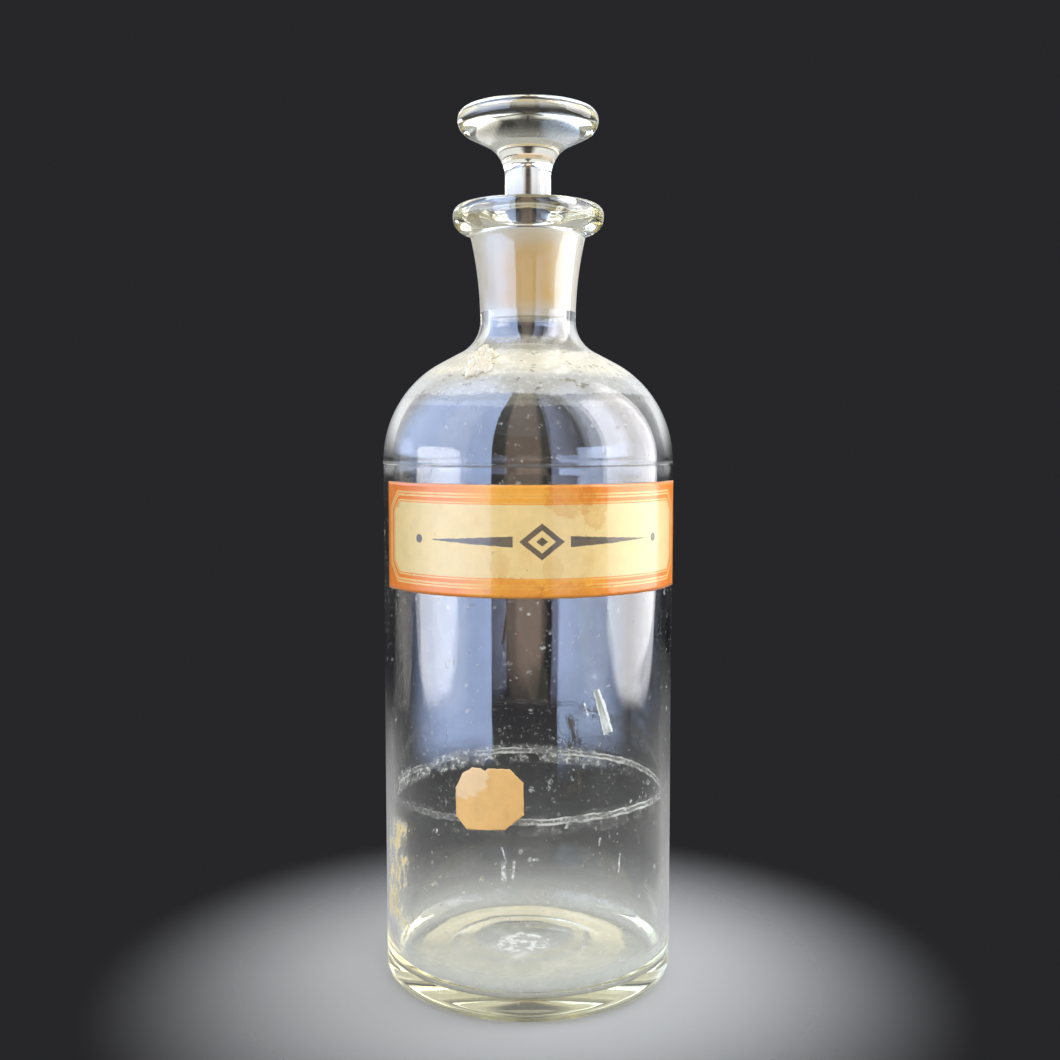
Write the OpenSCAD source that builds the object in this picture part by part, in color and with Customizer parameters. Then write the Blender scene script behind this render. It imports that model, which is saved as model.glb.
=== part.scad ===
// Round-shouldered reagent bottle with a ground-glass stopper, paper label and tag.
// Millimetres, +Z up, the label faces -Y. The origin is the middle of the ring that the bottle stands on.

/* [Body] */
// Outside diameter of the body
body_d = 90; // [76:1:110]
// Height of the upright wall, from the table to the start of the shoulder
body_h = 162; // [140:1:200]
// Thickness of the wall
wall_t = 2.8; // [2:0.1:4.5]
// Rounding of the outer heel
heel_r = 4.6; // [3:0.1:7]
// How far the mould seam stands out at the top of the wall
seam_out = 0.25; // [0.1:0.05:0.5]
// Height of the mould seam's bead
seam_w = 1.2; // [0.6:0.1:2]

/* [Base] */
// Glass under the floor, beside the wall
floor_t = 6.5; // [5:0.5:10]
// Glass at the middle of the base
middle_t = 5.5; // [3.5:0.5:9]
// Rise of the hollow under the base
kick_h = 4; // [1:0.5:7]
// Width of the flat ring that the bottle stands on
rest_w = 5; // [3:0.5:9]
// Rounding inside, where the floor meets the wall
floor_r = 5; // [3:0.5:9]

/* [Shoulder] */
// Slope of the cone in the shoulder, measured from upright
shoulder_a = 62; // [54:1:70]
// Width of that cone, between the shoulder's two curves
cone_w = 6.3; // [4:0.1:9]
// Radius of the hollow curve at the foot of the neck
foot_r = 11; // [8:0.5:15]

/* [Neck and lip] */
// Length of the neck, from its narrowest place to the lip
neck_l = 26.3; // [22:0.1:36]
// Glass around the bore at the narrowest place
neck_t = 3.2; // [2.5:0.1:5]
// Glass around the bore just under the lip
collar_t = 5; // [4:0.1:7]
// How far the lip stands out from the neck
lip_out = 5.3; // [4:0.1:7]
// Upright edge of the lip, between its two roundings
lip_edge = 0.6; // [0.2:0.1:3]
// Rounding of the lip's upper edge
lip_top_r = 3; // [2:0.1:4]
// Chamfer where the mouth opens
mouth_c = 0.8; // [0.4:0.1:1.5]

/* [Stopper] */
// Diameter of the ground plug at its top
plug_d = 26.6; // [23:0.2:31]
// Length of the ground plug
plug_l = 34.5; // [28:0.5:38]
// Taper of the ground joint on the diameter, as 1 in this length
taper_n = 10; // [8:0.5:14]
// Gap all round between the ground plug and its socket
joint_gap = 0.08; // [0.05:0.01:0.15]
// Chamfer at both ends of the plug
plug_c = 0.8; // [0.4:0.1:1.5]
// Diameter of the stem under the head
stem_d = 14.1; // [11:0.1:17]
// Rounding at the foot of the stem
stem_r = 2; // [1:0.1:3]
// Length of the upright stem
stem_l = 8.6; // [5:0.1:14]
// Radius of the hollow curve under the head
flare_r = 11; // [8:0.5:13]
// Slope of the head's underside, measured from upright
flare_a = 64; // [56:1:70]
// Diameter of the head
head_d = 43.4; // [39:0.2:50]
// Rounding under the rim of the head
rim_low_r = 4.9; // [3.5:0.1:6]
// Rounding at the top of the head
rim_top_r = 3.3; // [2:0.1:4.5]
// Rise of the head's top at its middle
dome_h = 0.5; // [0.2:0.1:2]

/* [Paper] */
// Thickness of the paper
paper_t = 0.15; // [0.1:0.01:0.25]
// Paste under the paper
paste_t = 0.03; // [0.02:0.01:0.06]
// Length of the label round the wall
label_w = 114.7; // [90:0.1:130]
// Height of the label
label_h = 32; // [24:0.5:40]
// Wall left free above the label
label_drop = 5.9; // [3:0.1:12]
// Turn of the label's middle from the front, to the right
label_turn = 5; // [-20:1:20]
// Width of the tag
tag_w = 20.5; // [14:0.5:26]
// Height of the tag
tag_h = 18.5; // [14:0.5:24]
// Corners cut from the tag
tag_cut = 4.6; // [2:0.1:6]
// Height of the tag's middle above the table
tag_z = 66.3; // [40:0.1:75]
// Turn of the tag's middle from the front, to the left
tag_turn = 14.3; // [0:0.1:25]
// Length of the torn scrap
scrap_l = 13.5; // [8:0.5:18]
// Width of the scrap's wide end
scrap_w = 3.3; // [2.5:0.1:5]
// Width of the scrap's narrow end
scrap_tip = 1.6; // [1:0.1:2.4]
// Lean of the scrap
scrap_lean = 18; // [0:1:30]
// Gap between the label's lower edge and the scrap's top
scrap_drop = 26.4; // [18:0.1:30]
// Turn of the scrap's middle from the front, to the right
scrap_turn = 28; // [20:1:45]

/* [Deposits] */
// Height of the old liquid line above the table
tide_z = 59.6; // [40:0.1:90]
// Height of the tide ring's band
tide_h = 3.6; // [2:0.1:6]
// Thickness of the tide ring
tide_t = 0.3; // [0.2:0.05:0.6]
// Tilt of the tide ring, up to the right
tide_tilt = 0.7; // [0:0.1:2]
// Thickness of the dried film on the floor
film_t = 0.35; // [0.2:0.05:0.8]
// Gap left between a deposit and the glass
film_gap = 0.03; // [0.02:0.01:0.06]
// Width of the wax drip's lower end
wax_w = 9; // [6:0.1:12]
// Width of the wax drip's upper end
wax_tip = 4; // [2.5:0.1:5.5]
// Length of the wax drip, seen from above
wax_l = 18; // [13:0.1:20]
// Thickness of the wax drip
wax_t = 1.3; // [0.8:0.1:2]
// Turn of the wax drip's middle from the front, to the left
wax_turn = 30; // [10:1:60]
// How far the drip's run is turned from straight out
wax_lean = 27; // [0:1:40]

/* [Hidden] */
$fn = 180;
body_r = body_d / 2;
in_r = body_r - wall_t;
head_r = head_d / 2;
plug_r = plug_d / 2;
neck_in = plug_r - (neck_l + lip_out + lip_edge + lip_top_r - plug_c) / (2 * taper_n) + joint_gap;
neck_r = neck_in + neck_t;
shoulder_r = (body_r - neck_r - foot_r * (1 - cos(shoulder_a)) - cone_w) / (1 - cos(shoulder_a));
neck_z = body_h + (shoulder_r + foot_r) * sin(shoulder_a) + cone_w / tan(shoulder_a);
lip_z = neck_z + neck_l;
mouth_z = lip_z + lip_out + lip_edge + lip_top_r;
plug_z = mouth_z - plug_c;
collar_r = plug_r - (plug_z - lip_z) / (2 * taper_n) + joint_gap + collar_t;
flare_x = (neck_l * neck_l + (collar_r - neck_r) * (collar_r - neck_r)) / (2 * (collar_r - neck_r));
flare_z = mouth_z + stem_l;
rim_z = flare_z + flare_r * sin(flare_a) + rim_low_r * sin(flare_a)
    + (head_r - rim_low_r + rim_low_r * cos(flare_a) - stem_d / 2 - flare_r * (1 - cos(flare_a))) / tan(flare_a);
kick_r = body_r - heel_r - rest_w;
floor_x = in_r - floor_r;
paper_r = body_r + paste_t;
label_z = body_h - label_drop - label_h;

function arc(x, z, r, from, to, n) = [for (i = [0:n]) let (t = from + (to - from) * i / n) [x + r * cos(t), z + r * sin(t)]];
function bowl(r, edge, rise, n) = [for (i = [0:n]) [r * i / n, edge + rise * (1 - (i / n) * (i / n))]];
function back(p) = [for (i = [len(p) - 1:-1:0]) p[i]];
function plug_at(z) = plug_r - (plug_z - z) / (2 * taper_n);
function bore_at(z) = plug_at(z) + joint_gap;
function shoulder(d, neck_d) = concat(
    arc(body_r - shoulder_r, body_h, shoulder_r + d, 0, shoulder_a, 24),
    arc(neck_r + foot_r, neck_z, foot_r - neck_d, 180 + shoulder_a, 180, 16));

// The blown bottle: base, wall, shoulder, neck and lip in one turned outline
module bottle() color([0.78, 0.86, 0.82, 0.45]) rotate_extrude() polygon(concat(
    back(bowl(floor_x, floor_t, kick_h + middle_t - floor_t, 12)),
    bowl(kick_r, 0, kick_h, 12),
    arc(body_r - heel_r, heel_r, heel_r, -90, 0, 10),
    [[body_r, body_h - seam_w], [body_r + seam_out, body_h - seam_w / 2]],
    shoulder(0, 0),
    arc(neck_r + flare_x, neck_z, flare_x, 180, 180 - asin(neck_l / flare_x), 10),
    arc(collar_r, lip_z + lip_out, lip_out, -90, 0, 12),
    arc(collar_r + lip_out - lip_top_r, lip_z + lip_out + lip_edge, lip_top_r, 0, 90, 10),
    [[bore_at(mouth_z - mouth_c) + mouth_c, mouth_z], [bore_at(mouth_z - mouth_c), mouth_z - mouth_c]],
    back(shoulder(-wall_t, -neck_t)),
    back(arc(floor_x, floor_t + floor_r, floor_r, -90, 0, 10))));

// The solid stopper: ground plug, stem and flat head
module stopper() color([0.72, 0.84, 0.84, 0.6]) rotate_extrude() polygon(concat(
    [[0, plug_z - plug_l], [plug_at(plug_z - plug_l + plug_c) - plug_c, plug_z - plug_l],
     [plug_at(plug_z - plug_l + plug_c), plug_z - plug_l + plug_c], [plug_r, plug_z], [plug_r - plug_c, mouth_z]],
    arc(stem_d / 2 + stem_r, mouth_z + stem_r, stem_r, 270, 180, 8),
    arc(stem_d / 2 + flare_r, flare_z, flare_r, 180, 180 - flare_a, 16),
    arc(head_r - rim_low_r, rim_z, rim_low_r, -flare_a, 0, 12),
    arc(head_r - rim_top_r, rim_z, rim_top_r, 0, 90, 12),
    back(bowl(head_r - rim_top_r, rim_z + rim_top_r, dome_h, 8))));

// A sheet of paper on the wall: from and to are angles from the front, to the right
module sheet(from, to, z, h) rotate([0, 0, from - 90]) rotate_extrude(angle = to - from) translate([paper_r, z]) square([paper_t, h]);

// A flat pattern pressed through the paper, its middle at an angle from the front
module punch(turn, z) rotate([0, 0, turn]) translate([0, 0, z]) rotate([90, 0, 0]) linear_extrude(2 * body_r) children();

// The long label round the front
module label() color([0.90, 0.72, 0.42]) sheet(label_turn - label_w / body_d / PI * 180, label_turn + label_w / body_d / PI * 180, label_z, label_h);

// The small tag with cut corners
module tag() color([0.93, 0.76, 0.50]) intersection() {
    sheet(-tag_turn - tag_w / body_d / PI * 270, -tag_turn + tag_w / body_d / PI * 270, tag_z - tag_h, 2 * tag_h);
    punch(-tag_turn, tag_z) polygon([
        [tag_w / 2, tag_cut - tag_h / 2], [tag_w / 2, tag_h / 2 - tag_cut], [tag_w / 2 - tag_cut, tag_h / 2], [tag_cut - tag_w / 2, tag_h / 2],
        [-tag_w / 2, tag_h / 2 - tag_cut], [-tag_w / 2, tag_cut - tag_h / 2], [tag_cut - tag_w / 2, -tag_h / 2], [tag_w / 2 - tag_cut, -tag_h / 2]]);
}

// A torn scrap of an older label
module scrap() color([0.86, 0.82, 0.70]) intersection() {
    sheet(scrap_turn - scrap_l / body_d / PI * 360, scrap_turn + scrap_l / body_d / PI * 360, label_z - scrap_drop - 2 * scrap_l, 3 * scrap_l);
    punch(scrap_turn, label_z - scrap_drop - scrap_l / 2) rotate(scrap_lean) polygon([
        [-scrap_w / 2, -scrap_l / 2], [scrap_w / 2, -scrap_l / 2], [scrap_tip / 2, scrap_l / 2], [-scrap_tip / 2, scrap_l / 2]]);
}

// The dried edge of the old contents, inside the wall
module tide_ring() color([0.92, 0.92, 0.88]) intersection() {
    translate([0, 0, tide_z - 5 * tide_h]) difference() {
        cylinder(r = in_r - film_gap, h = 10 * tide_h);
        translate([0, 0, -1]) cylinder(r = in_r - film_gap - tide_t, h = 10 * tide_h + 2);
    }
    translate([0, 0, tide_z]) rotate([0, -tide_tilt, 0]) cylinder(r = body_r, h = tide_h, center = true);
}

// The dried film on the floor
module floor_film() color([0.88, 0.86, 0.74]) rotate_extrude() polygon(concat(
    bowl(floor_x, floor_t + film_gap, kick_h + middle_t - floor_t, 12),
    back(bowl(floor_x, floor_t + film_gap + film_t, kick_h + middle_t - floor_t, 12))));

// A drip of wax that ran down the shoulder from the neck
module wax_drip() color([0.85, 0.80, 0.62]) intersection() {
    rotate_extrude() polygon(concat(shoulder(film_gap, film_gap), back(shoulder(film_gap + wax_t, film_gap + wax_t))));
    rotate([0, 0, -wax_turn]) translate([0, -(neck_r + body_r) / 2 + wax_t * 2, body_h]) rotate([0, 0, wax_lean]) linear_extrude(neck_z - body_h) {
        translate([0, (wax_w - wax_l) / 2]) circle(d = wax_w);
        polygon([[-wax_w / 2, (wax_w - wax_l) / 2], [wax_w / 2, (wax_w - wax_l) / 2], [wax_tip / 2, (wax_l - wax_tip) / 2], [-wax_tip / 2, (wax_l - wax_tip) / 2]]);
        translate([0, (wax_l - wax_tip) / 2]) circle(d = wax_tip);
    }
}

bottle();
stopper();
label();
tag();
scrap();
tide_ring();
floor_film();
wax_drip();
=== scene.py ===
import math

import bmesh
import bpy
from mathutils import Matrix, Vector, noise


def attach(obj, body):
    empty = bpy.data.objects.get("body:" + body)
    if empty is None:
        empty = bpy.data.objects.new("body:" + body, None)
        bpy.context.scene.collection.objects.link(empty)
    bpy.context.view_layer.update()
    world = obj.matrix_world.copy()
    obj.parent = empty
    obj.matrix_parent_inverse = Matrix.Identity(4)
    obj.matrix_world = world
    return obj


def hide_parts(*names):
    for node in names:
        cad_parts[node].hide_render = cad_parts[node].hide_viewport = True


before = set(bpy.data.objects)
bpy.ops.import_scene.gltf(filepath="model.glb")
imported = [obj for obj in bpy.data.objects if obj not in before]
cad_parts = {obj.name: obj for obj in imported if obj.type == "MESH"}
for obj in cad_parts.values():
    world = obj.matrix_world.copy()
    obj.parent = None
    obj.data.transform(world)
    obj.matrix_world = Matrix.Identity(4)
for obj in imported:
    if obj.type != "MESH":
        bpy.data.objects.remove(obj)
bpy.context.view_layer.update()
print("frame loaded:", sorted(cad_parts))

mm = 0.001

# the turned glass, in millimetres and degrees
bottleShape = {
    "radius": 45.0, "wallTop": 162.0, "wall": 2.8, "heel": 4.6, "seamOut": 0.14, "seamTall": 1.2,
    "floor": 6.5, "middle": 5.5, "kick": 4.0, "rest": 5.0, "floorRound": 5.0,
    "coneSlope": 62.0, "coneWide": 6.3, "footRound": 11.0,
    "neckLong": 26.3, "neckWall": 3.2, "collarWall": 5.0,
    "lipOut": 5.3, "lipEdge": 0.6, "lipTop": 3.0, "mouthChamfer": 0.8, "segments": 176,
}
stopperShape = {
    "plugWide": 26.6, "plugLong": 34.5, "taper": 10.0, "gap": 0.08, "chamfer": 0.8, "bare": 6.5,
    "stemWide": 14.1, "stemRound": 2.0, "stemLong": 8.6, "flareRound": 11.0, "flareSlope": 64.0,
    "headWide": 43.4, "rimLow": 4.9, "rimTop": 3.3, "dome": 0.5, "segments": 144,
}


def arcPoints(x, z, r, start, end, steps):
    turns = [math.radians(start + (end - start) * i / steps) for i in range(steps + 1)]
    return [(x + r * math.cos(t), z + r * math.sin(t)) for t in turns]


def bowlPoints(r, edge, rise, steps):
    return [(r * i / steps, edge + rise * (1 - (i / steps) ** 2)) for i in range(steps + 1)]


# the points between two ends, without the ends
def linePoints(a, b, steps):
    return [(a[0] + (b[0] - a[0]) * i / steps, a[1] + (b[1] - a[1]) * i / steps) for i in range(1, steps)]


# sizes that follow from the two dictionaries, as in the CAD
def workOutSizes(b, s):
    slope, flare = math.radians(b["coneSlope"]), math.radians(s["flareSlope"])
    slopeTurn, flareTurn = 1 - math.cos(slope), 1 - math.cos(flare)
    lipTall = b["lipOut"] + b["lipEdge"] + b["lipTop"]
    plugR = s["plugWide"] / 2
    neckIn = plugR - (b["neckLong"] + lipTall - s["chamfer"]) / (2 * s["taper"]) + s["gap"]
    neckR = neckIn + b["neckWall"]
    shoulderR = (b["radius"] - neckR - b["footRound"] * slopeTurn - b["coneWide"]) / slopeTurn
    neckZ = b["wallTop"] + (shoulderR + b["footRound"]) * math.sin(slope) + b["coneWide"] / math.tan(slope)
    lipZ = neckZ + b["neckLong"]
    mouthZ = lipZ + lipTall
    plugZ = mouthZ - s["chamfer"]
    collarR = plugR - (plugZ - lipZ) / (2 * s["taper"]) + s["gap"] + b["collarWall"]
    collarOut = collarR - neckR
    flareZ = mouthZ + s["stemLong"]
    flareWide = (s["headWide"] - s["stemWide"]) / 2 - (s["rimLow"] + s["flareRound"]) * flareTurn
    rimZ = flareZ + (s["flareRound"] + s["rimLow"]) * math.sin(flare) + flareWide / math.tan(flare)
    return {
        "neckIn": neckIn, "neckR": neckR, "shoulderR": shoulderR, "neckZ": neckZ, "lipZ": lipZ,
        "mouthZ": mouthZ, "plugZ": plugZ, "collarR": collarR, "flareZ": flareZ, "rimZ": rimZ,
        "neckFlare": (b["neckLong"] ** 2 + collarOut ** 2) / (2 * collarOut),
    }


size = workOutSizes(bottleShape, stopperShape)


def plugRadius(z):
    return stopperShape["plugWide"] / 2 - (size["plugZ"] - z) / (2 * stopperShape["taper"])


# the shoulder from the wall to the foot of the neck, moved out from the true outside
def shoulderPoints(out, neckOut):
    b = bottleShape
    slope = b["coneSlope"]
    top = arcPoints(b["radius"] - size["shoulderR"], b["wallTop"], size["shoulderR"] + out, 0, slope, 30)
    footX = size["neckR"] + b["footRound"]
    foot = arcPoints(footX, size["neckZ"], b["footRound"] - neckOut, 180 + slope, 180, 22)
    return top + linePoints(top[-1], foot[0], 4) + foot


# the outline of the glass from under the base, up the outside and down the inside
def bottleStretches():
    b = bottleShape
    wallR, inR = b["radius"], b["radius"] - b["wall"]
    seamLow = b["wallTop"] - b["seamTall"]
    seam = [(wallR + b["seamOut"] * math.sin(math.pi * i / 10) ** 2, seamLow + b["seamTall"] * i / 10)
            for i in range(10)]
    neckTurn = math.degrees(math.asin(b["neckLong"] / size["neckFlare"]))
    outside = arcPoints(wallR - b["heel"], b["heel"], b["heel"], -90, 0, 12)
    outside += linePoints((wallR, b["heel"]), (wallR, seamLow), 40) + seam + shoulderPoints(0, 0)
    outside += arcPoints(size["neckR"] + size["neckFlare"], size["neckZ"], size["neckFlare"],
                         180, 180 - neckTurn, 16)[1:]
    lipMiddle = size["lipZ"] + b["lipOut"]
    mouth = size["mouthZ"] - b["mouthChamfer"]
    mouthR = plugRadius(mouth) + stopperShape["gap"]
    lip = arcPoints(size["collarR"], lipMiddle, b["lipOut"], -84, 0, 16)
    lipTopR = size["collarR"] + b["lipOut"] - b["lipTop"]
    lip += arcPoints(lipTopR, lipMiddle + b["lipEdge"], b["lipTop"], 0, 90, 12)
    lip += [(mouthR + b["mouthChamfer"] * 1.6, size["mouthZ"])]
    lip += arcPoints(mouthR + b["mouthChamfer"], mouth, b["mouthChamfer"], 90, 180, 5)
    bare = size["plugZ"] - stopperShape["bare"]
    bareEdge = (plugRadius(bare) + stopperShape["gap"], bare)
    floorEdge = (inR, b["floor"] + b["floorRound"])
    inside = arcPoints(inR - b["floorRound"], floorEdge[1], b["floorRound"], -90, 0, 12)
    inside += linePoints(floorEdge, (inR, b["wallTop"]), 36) + shoulderPoints(-b["wall"], -b["neckWall"])
    floor = bowlPoints(inR - b["floorRound"], b["floor"], b["kick"] + b["middle"] - b["floor"], 16)
    return {
        "under": bowlPoints(wallR - b["heel"] - b["rest"], 0, b["kick"], 14),
        "outside": outside, "lip": lip,
        "bore": linePoints((mouthR, mouth), bareEdge, 3) + [bareEdge],
        "socket": linePoints(bareEdge, (size["neckIn"], size["neckZ"]), 10),
        "inside": inside[::-1], "floor": floor[::-1][1:],
    }


def stopperStretches():
    s = stopperShape
    low, high, chamfer = size["plugZ"] - s["plugLong"], size["plugZ"], s["chamfer"]
    stemR, headR = s["stemWide"] / 2, s["headWide"] / 2
    foot = [(0, low), (plugRadius(low) * 0.5, low), (plugRadius(low) - chamfer * 1.6, low)]
    foot += arcPoints(plugRadius(low + chamfer) - chamfer, low + chamfer, chamfer, -90, 0, 5)
    top = arcPoints(plugRadius(high) - chamfer, high, chamfer, 0, 90, 5)
    top += [(top[-1][0] - chamfer, size["mouthZ"])]
    stem = arcPoints(stemR + s["stemRound"], size["mouthZ"] + s["stemRound"], s["stemRound"], 270, 180, 8)
    flareX = stemR + s["flareRound"]
    stem += arcPoints(flareX, size["flareZ"], s["flareRound"], 180, 180 - s["flareSlope"], 18)
    head = arcPoints(headR - s["rimLow"], size["rimZ"], s["rimLow"], -s["flareSlope"], 0, 16)
    head += arcPoints(headR - s["rimTop"], size["rimZ"], s["rimTop"], 0, 90, 12)[1:]
    head += bowlPoints(headR - s["rimTop"], size["rimZ"] + s["rimTop"], s["dome"], 10)[::-1][1:]
    bareEdge = (plugRadius(high - s["bare"]), high - s["bare"])
    ground = linePoints(foot[-1], bareEdge, 10) + [bareEdge]
    shank = linePoints(bareEdge, (plugRadius(high), high), 3)
    return {"foot": foot, "ground": ground, "shank": shank, "top": top, "stem": stem, "head": head}


# how far blown glass strays from the true outline at one place, in millimetres
def blownDrift(turn, z, stretch):
    place = Vector((math.cos(turn) * 0.9, math.sin(turn) * 0.9, z / 55.0))
    fine = Vector((math.cos(turn) * 2.6, math.sin(turn) * 2.6, z / 16.0))
    if stretch == "outside":
        return (noise.noise(place) - 1) * 0.06 + (noise.noise(fine + Vector((7, 0, 0))) - 1) * 0.03
    if stretch == "inside":
        return noise.noise(place + Vector((0, 5, 0))) * 0.38 + noise.noise(fine + Vector((0, 0, 9))) * 0.07
    if stretch == "lip":
        return (noise.noise(place * 1.3 + Vector((3, 3, 0))) - 0.6) * 0.3
    if stretch == "head":
        return (noise.noise(place * 1.2 + Vector((0, 4, 4))) - 0.7) * 0.16
    return 0.0


# a place in metres: so far from the axis, turned from the front, so high
def onTurn(r, turn, z):
    return Vector((r * math.sin(turn), -r * math.cos(turn), z)) * mm


def makeRing(bm, r, z, segments, stretch):
    if r < 1e-6:
        return [bm.verts.new((0, 0, z * mm))]
    turns = [2 * math.pi * j / segments for j in range(segments)]
    return [bm.verts.new(onTurn(r + blownDrift(turn, z, stretch), turn, z)) for turn in turns]


# faces between one ring of points and the next; a ring of one point closes to a fan
def bridgeRings(bm, a, b):
    count = max(len(a), len(b))
    faces = []
    for j in range(count):
        k = (j + 1) % count
        corners = [a[j % len(a)], a[k % len(a)], b[k % len(b)], b[j % len(b)]]
        face = bm.faces.new(list(dict.fromkeys(corners)))
        face.smooth = True
        faces.append(face)
    return faces


def finishMesh(name, bm):
    bmesh.ops.recalc_face_normals(bm, faces=bm.faces)
    mesh = bpy.data.meshes.new(name)
    bm.to_mesh(mesh)
    bm.free()
    piece = bpy.data.objects.new(name, mesh)
    bpy.context.scene.collection.objects.link(piece)
    return piece


# turns stretches of outline into one mesh; the ground stretch takes the second material
def turnMesh(name, stretches, segments, ground):
    bm = bmesh.new()
    rings = []
    lastPoint = (-1, -1)
    for stretch, points in stretches.items():
        for point in points:
            if math.dist(point, lastPoint) > 1e-6:
                rings.append((stretch, makeRing(bm, *point, segments, stretch)))
            lastPoint = point
    for (_, a), (stretch, b) in zip(rings, rings[1:]):
        for face in bridgeRings(bm, a, b):
            face.material_index = int(stretch == ground)
    return finishMesh(name, bm)


# a finished piece: its materials, the body it rides on and the node it stands for
def settle(piece, materials, body, node=None):
    for material in materials:
        piece.data.materials.append(material)
    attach(piece, body)
    if node:
        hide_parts(node)


# the node tree being drawn, which startGroup, startMaterial and makeWorld lay out
canvas = {}


# a value is a number, a colour or the output of another node
def fillInputs(inputs, values):
    for key, value in values.items():
        if isinstance(value, bpy.types.NodeSocket):
            canvas["tree"].links.new(value, inputs[key])
        else:
            inputs[key].default_value = value


def addNode(kind, values=None, **settings):
    node = canvas["tree"].nodes.new("ShaderNode" + kind)
    for key, value in settings.items():
        setattr(node, key, value)
    fillInputs(node.inputs, values or {})
    return node


def objectPlace():
    return addNode("TexCoord").outputs["Object"]


def axesOf(place):
    return addNode("SeparateXYZ", {0: place}).outputs


def calc(operation, *values):
    return addNode("Math", dict(enumerate(values)), operation=operation).outputs[0]


def plus(a, b):
    return calc("ADD", a, b)


def minus(a, b):
    return calc("SUBTRACT", a, b)


# start, and value times by on top of it
def scaled(value, by, start):
    return calc("MULTIPLY_ADD", value, by, start)


def mixColor(share, first, second, mode="MIX"):
    node = addNode("Mix", {0: share, 6: first, 7: second}, data_type="RGBA", blend_type=mode)
    return node.outputs[2]


# 0 below low, 1 above high and a smooth rise between them
def ease(value, low, high):
    inputs = {"Value": value, "From Min": low, "From Max": high}
    return addNode("MapRange", inputs, interpolation_type="SMOOTHSTEP").outputs[0]


# from low to high as the share goes from 0 to 1
def fromTo(low, high, share):
    return scaled(share, high - low, low)


def invert(value):
    return minus(1.0, value)


def product(*values):
    result = values[0]
    for value in values[1:]:
        result = calc("MULTIPLY", result, value)
    return result


def largest(*values):
    result = values[0]
    for value in values[1:]:
        result = calc("MAXIMUM", result, value)
    return result


def lengthOf(a, b):
    return calc("SQRT", plus(product(a, a), product(b, b)))


# 1 near the middle, easing to 0 across half on each side
def bandMask(value, middle, half, soft):
    away = calc("ABSOLUTE", minus(value, middle))
    return invert(ease(away, half - soft, half + soft))


def startGroup(name, inputs, outputs):
    tree = canvas["tree"] = bpy.data.node_groups.new(name, "ShaderNodeTree")
    for label, kind, value in inputs:
        socket = tree.interface.new_socket(label, in_out="INPUT", socket_type=kind)
        socket.default_value = value
    for label, kind in outputs:
        tree.interface.new_socket(label, in_out="OUTPUT", socket_type=kind)
    return tree, tree.nodes.new("NodeGroupInput").outputs, tree.nodes.new("NodeGroupOutput").inputs


def useGroup(group, **values):
    return addNode("Group", values, node_tree=group).outputs


def startMaterial(name):
    material = bpy.data.materials.new(name)
    material.use_nodes = True
    canvas["tree"] = material.node_tree
    return material, material.node_tree.nodes["Principled BSDF"].inputs


number, colour, vector = "NodeSocketFloat", "NodeSocketColor", "NodeSocketVector"


# where a point lies on the wall: millimetres round from the front, and height
def makeWallPlace():
    outputs = [("Around", number), ("Height", number), ("Flat", vector)]
    tree, given, result = startGroup("wallPlace", [("Radius", number, bottleShape["radius"])], outputs)
    x, y, z = axesOf(objectPlace())
    turn = calc("ARCTAN2", x, product(y, -1.0))
    around, height = product(turn, given["Radius"]), product(z, 1 / mm)
    flat = addNode("CombineXYZ", {0: around, 1: height}).outputs[0]
    fillInputs(result, {"Around": around, "Height": height, "Flat": flat})
    return tree


# the surface's own coordinates, drawn out upwards where Tall is below 1
def stretchedPlace(tall):
    scale = addNode("CombineXYZ", {0: 1.0, 1: 1.0, 2: tall}).outputs[0]
    return addNode("VectorMath", {0: objectPlace(), 1: scale}, operation="MULTIPLY").outputs[0]


# patches with soft ragged edges: Cover is how much of the surface they take
def makePatches():
    inputs = [("Scale", number, 100.0), ("Cover", number, 0.5), ("Soft", number, 0.1),
              ("Seed", number, 0.0), ("Tall", number, 1.0)]
    tree, given, result = startGroup("patches", inputs, [("Mask", number)])
    look = {"Vector": stretchedPlace(given["Tall"]), "W": given["Seed"], "Scale": given["Scale"],
            "Detail": 7.0, "Roughness": 0.62}
    cloud = addNode("TexNoise", look, noise_dimensions="4D").outputs[0]
    edge = scaled(given["Cover"], -0.56, 0.78)
    fillInputs(result, {"Mask": ease(cloud, edge, plus(edge, given["Soft"]))})
    return tree


# small chipped specks, each of its own size and strength
def makeSpecks():
    inputs = [("Scale", number, 200.0), ("Size", number, 0.2), ("Share", number, 0.3), ("Tall", number, 1.0)]
    tree, given, result = startGroup("specks", inputs, [("Mask", number)])
    place = stretchedPlace(given["Tall"])
    bend = addNode("TexNoise", {"Vector": place, "Scale": 900.0, "Detail": 2.0}).outputs[1]
    shift = addNode("VectorMath", {0: bend, 3: 0.0009}, operation="SCALE").outputs[0]
    bent = addNode("VectorMath", {0: place, 1: shift}, operation="ADD").outputs[0]
    cells = addNode("TexVoronoi", {"Vector": bent, "Scale": given["Scale"]}).outputs
    pick = addNode("SeparateColor", {0: cells["Color"]}).outputs
    chips = addNode("TexNoise", {"Vector": place, "Scale": 2100.0, "Detail": 3.0}).outputs[0]
    own = plus(calc("POWER", pick[1], 3.0), 0.35)
    reach = product(given["Size"], own, fromTo(0.2, 1.2, ease(chips, 0.38, 0.62)))
    dot = calc("LESS_THAN", cells["Distance"], reach)
    kept = calc("LESS_THAN", pick[0], given["Share"])
    fillInputs(result, {"Mask": product(dot, kept, fromTo(0.4, 1.0, pick[2]))})
    return tree


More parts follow.
